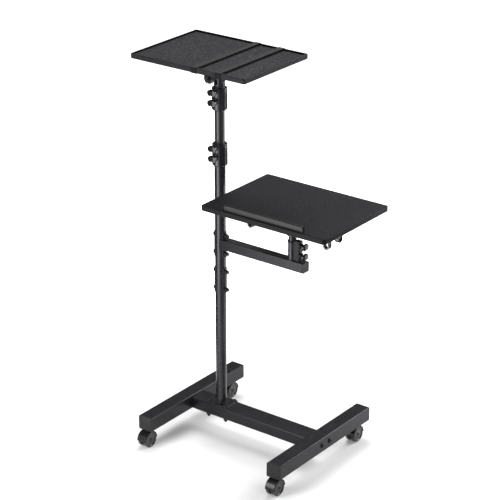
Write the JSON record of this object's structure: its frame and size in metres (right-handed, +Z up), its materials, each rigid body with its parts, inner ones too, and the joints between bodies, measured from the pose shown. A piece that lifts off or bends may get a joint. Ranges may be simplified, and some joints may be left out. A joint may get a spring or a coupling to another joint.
{
  "type": "projector cart",
  "caption": "Rolling projector cart with an H base on twin-wheel casters, a telescoping pole, a tilting projector tray and a side arm with a swivelling laptop tray.",
  "frame": {"origin": "on the floor under the middle of the cart's bounding box", "axes": "+X from the pole towards the laptop tray along the cross tube, +Y along the feet away from the user, +Z up"},
  "size_m": [0.674, 0.469, 1.1815],
  "materials": {
    "frame_paint": "satin powder coat",
    "cast_collar": "satin",
    "black_steel": "black oxide",
    "nylon": "matte",
    "knob_plastic": "glossy",
    "tray_board": "fine-grained black laminate",
    "bar_plastic": "matte",
    "elastic": "woven",
    "zinc_steel": "zinc plated",
    "caster_plastic": "glossy",
    "wheel_plastic": "glossy"
  },
  "bodies": {
    "base_frame": {"foot_left": "frame_paint", "foot_right": "frame_paint", "end_caps": "nylon", "cross_tube": "frame_paint", "base_bolts": "black_steel", "pole_flange": "frame_paint", "flange_bolts": "black_steel", "lower_pole": "frame_paint", "lower_collar": "cast_collar", "lower_collar_bush": "nylon", "saddle_plates": "frame_paint", "saddle_bolts": "black_steel", "arm_tube": "frame_paint", "arm_upright": "frame_paint", "clamp_block": "cast_collar", "caster_stems": "zinc_steel"},
    "lower_wing_a": {"lower_wing_screw_1": "knob_plastic"},
    "lower_wing_b": {"lower_wing_screw_2": "knob_plastic"},
    "arm_wing_a": {"arm_wing_screw_1": "knob_plastic"},
    "arm_wing_b": {"arm_wing_screw_2": "knob_plastic"},
    "mast": {"mast_tube": "frame_paint", "mast_guide": "nylon"},
    "head": {"upper_collar": "cast_collar", "upper_collar_bush": "nylon", "head_sleeve": "frame_paint", "head_fork": "frame_paint", "head_pivot_bolt": "black_steel"},
    "upper_wing_a": {"upper_wing_screw_1": "knob_plastic"},
    "upper_wing_b": {"upper_wing_screw_2": "knob_plastic"},
    "head_knob": {"head_tilt_knob": "knob_plastic"},
    "projector_tray": {"top_tray": "tray_board", "top_tray_bracket": "frame_paint", "top_tray_screws": "black_steel", "tray_straps": "elastic"},
    "post_collar": {"post_ring": "nylon"},
    "laptop_post": {"laptop_post": "frame_paint", "laptop_fork": "frame_paint", "laptop_pivot_bolt": "black_steel"},
    "laptop_knob": {"laptop_tilt_knob": "knob_plastic"},
    "laptop_tray": {"laptop_tray": "tray_board", "laptop_tray_bracket": "frame_paint", "laptop_tray_screws": "black_steel", "stop_bar": "bar_plastic", "tray_hooks": "black_steel"},
    "caster_lf": {"caster_body_lf": "caster_plastic", "caster_axle_lf": "zinc_steel"},
    "wheel_lf_left": {"wheel_lf_left": "wheel_plastic"},
    "wheel_lf_right": {"wheel_lf_right": "wheel_plastic"},
    "caster_rf": {"caster_body_rf": "caster_plastic", "caster_axle_rf": "zinc_steel"},
    "wheel_rf_left": {"wheel_rf_left": "wheel_plastic"},
    "wheel_rf_right": {"wheel_rf_right": "wheel_plastic"},
    "caster_lr": {"caster_body_lr": "caster_plastic", "caster_axle_lr": "zinc_steel"},
    "wheel_lr_left": {"wheel_lr_left": "wheel_plastic"},
    "wheel_lr_right": {"wheel_lr_right": "wheel_plastic"},
    "caster_rr": {"caster_body_rr": "caster_plastic", "caster_axle_rr": "zinc_steel"},
    "wheel_rr_left": {"wheel_rr_left": "wheel_plastic"},
    "wheel_rr_right": {"wheel_rr_right": "wheel_plastic"}
  },
  "joints": [
    {"name": "mast_slide", "type": "slide", "parent": "base_frame", "child": "mast", "axis": [0, 0, 1], "range_m": [-0.09, 0.09]},
    {"name": "head_swivel", "type": "hinge", "parent": "mast", "child": "head", "pos_m": [-0.137, 0.0095, 1.016], "axis": [0, 0, 1], "continuous": true},
    {"name": "projector_tray_tilt", "type": "hinge", "parent": "head", "child": "projector_tray", "pos_m": [-0.137, 0.0095, 1.107], "axis": [1, 0, 0], "range_deg": [-25, 25]},
    {"name": "head_knob_turn", "type": "hinge", "parent": "head", "child": "head_knob", "pos_m": [-0.137, 0.0095, 1.107], "axis": [1, 0, 0], "range_deg": [-360, 360]},
    {"name": "lower_wing_a_turn", "type": "hinge", "parent": "base_frame", "child": "lower_wing_a", "pos_m": [-0.137, -0.0145, 0.877], "axis": [0, 1, 0], "range_deg": [-360, 360]},
    {"name": "lower_wing_b_turn", "type": "hinge", "parent": "base_frame", "child": "lower_wing_b", "pos_m": [-0.137, -0.0145, 0.907], "axis": [0, 1, 0], "range_deg": [-360, 360]},
    {"name": "upper_wing_a_turn", "type": "hinge", "parent": "head", "child": "upper_wing_a", "pos_m": [-0.137, -0.0145, 1.043], "axis": [0, 1, 0], "range_deg": [-360, 360]},
    {"name": "upper_wing_b_turn", "type": "hinge", "parent": "head", "child": "upper_wing_b", "pos_m": [-0.137, -0.0145, 1.073], "axis": [0, 1, 0], "range_deg": [-360, 360]},
    {"name": "arm_wing_a_turn", "type": "hinge", "parent": "base_frame", "child": "arm_wing_a", "pos_m": [0.152, 0.0095, 0.6405], "axis": [1, 0, 0], "range_deg": [-360, 360]},
    {"name": "arm_wing_b_turn", "type": "hinge", "parent": "base_frame", "child": "arm_wing_b", "pos_m": [0.152, 0.0095, 0.6705], "axis": [1, 0, 0], "range_deg": [-360, 360]},
    {"name": "post_swivel", "type": "hinge", "parent": "base_frame", "child": "post_collar", "pos_m": [0.12, 0.0095, 0.675], "axis": [0, 0, 1], "range_deg": [-20, 20]},
    {"name": "post_slide", "type": "slide", "parent": "post_collar", "child": "laptop_post", "axis": [0, 0, 1], "range_m": [0, 0.03]},
    {"name": "laptop_tray_tilt", "type": "hinge", "parent": "laptop_post", "child": "laptop_tray", "pos_m": [0.12, 0.0095, 0.7168], "axis": [1, 0, 0], "range_deg": [-20, 25]},
    {"name": "laptop_knob_turn", "type": "hinge", "parent": "laptop_post", "child": "laptop_knob", "pos_m": [0.12, 0.0095, 0.7168], "axis": [1, 0, 0], "range_deg": [-360, 360]},
    {"name": "caster_lf_swivel", "type": "hinge", "parent": "base_frame", "child": "caster_lf", "pos_m": [-0.248, -0.1895, 0.054], "axis": [0, 0, 1], "continuous": true},
    {"name": "wheel_lf_left_spin", "type": "hinge", "parent": "caster_lf", "child": "wheel_lf_left", "pos_m": [-0.248, -0.2075, 0.024], "axis": [1, 0, 0], "continuous": true},
    {"name": "wheel_lf_right_spin", "type": "hinge", "parent": "caster_lf", "child": "wheel_lf_right", "pos_m": [-0.248, -0.2075, 0.024], "axis": [1, 0, 0], "continuous": true},
    {"name": "caster_rf_swivel", "type": "hinge", "parent": "base_frame", "child": "caster_rf", "pos_m": [0.2225, -0.1895, 0.054], "axis": [0, 0, 1], "continuous": true},
    {"name": "wheel_rf_left_spin", "type": "hinge", "parent": "caster_rf", "child": "wheel_rf_left", "pos_m": [0.2225, -0.2075, 0.024], "axis": [1, 0, 0], "continuous": true},
    {"name": "wheel_rf_right_spin", "type": "hinge", "parent": "caster_rf", "child": "wheel_rf_right", "pos_m": [0.2225, -0.2075, 0.024], "axis": [1, 0, 0], "continuous": true},
    {"name": "caster_lr_swivel", "type": "hinge", "parent": "base_frame", "child": "caster_lr", "pos_m": [-0.248, 0.2085, 0.054], "axis": [0, 0, 1], "continuous": true},
    {"name": "wheel_lr_left_spin", "type": "hinge", "parent": "caster_lr", "child": "wheel_lr_left", "pos_m": [-0.248, 0.1905, 0.024], "axis": [1, 0, 0], "continuous": true},
    {"name": "wheel_lr_right_spin", "type": "hinge", "parent": "caster_lr", "child": "wheel_lr_right", "pos_m": [-0.248, 0.1905, 0.024], "axis": [1, 0, 0], "continuous": true},
    {"name": "caster_rr_swivel", "type": "hinge", "parent": "base_frame", "child": "caster_rr", "pos_m": [0.2225, 0.2085, 0.054], "axis": [0, 0, 1], "continuous": true},
    {"name": "wheel_rr_left_spin", "type": "hinge", "parent": "caster_rr", "child": "wheel_rr_left", "pos_m": [0.2225, 0.1905, 0.024], "axis": [1, 0, 0], "continuous": true},
    {"name": "wheel_rr_right_spin", "type": "hinge", "parent": "caster_rr", "child": "wheel_rr_right", "pos_m": [0.2225, 0.1905, 0.024], "axis": [1, 0, 0], "continuous": true}
  ]
}
